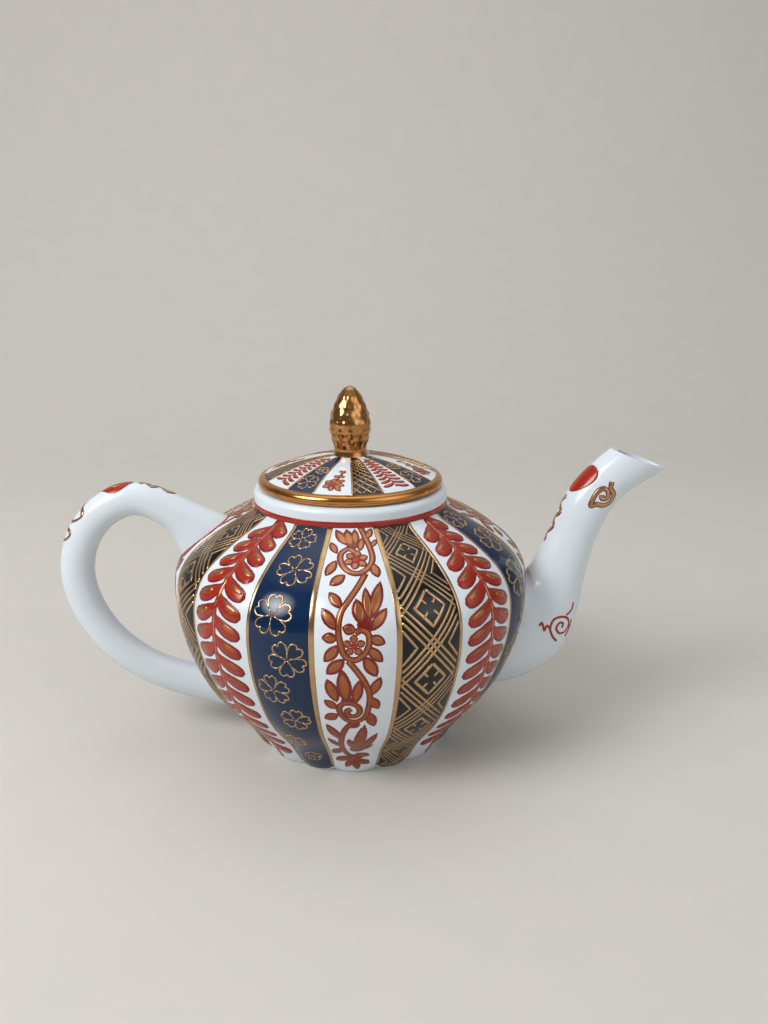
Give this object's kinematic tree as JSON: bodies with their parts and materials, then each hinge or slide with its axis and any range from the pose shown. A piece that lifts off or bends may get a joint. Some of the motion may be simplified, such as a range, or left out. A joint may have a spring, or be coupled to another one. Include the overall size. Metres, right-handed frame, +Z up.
{
  "type": "porcelain teapot",
  "caption": "Small lobed porcelain teapot with a curved spout, an ear-shaped handle and a lift-off lid with a gilded bud knob.",
  "frame": {"origin": "on the pot's axis, in the plane of the foot ring that it stands on", "axes": "+X towards the spout, -X towards the handle, +Z up along the pot's axis, the pictured side faces -Y"},
  "size_m": [0.1542, 0.09, 0.0922],
  "materials": {
    "porcelain": "glossy bluish-white glaze, painted in cobalt, iron red and gilt",
    "gilding": "burnished gilding fired over the glaze"
  },
  "bodies": {
    "pot": {"body": "porcelain", "spout": "porcelain", "handle": "porcelain"},
    "lid": {"lid": "porcelain", "finial": "gilding"}
  },
  "joints": [
    {"name": "lid_lift", "type": "slide", "parent": "pot", "child": "lid", "axis": [0, 0, 1], "range_m": [0, 0.04]}
  ]
}
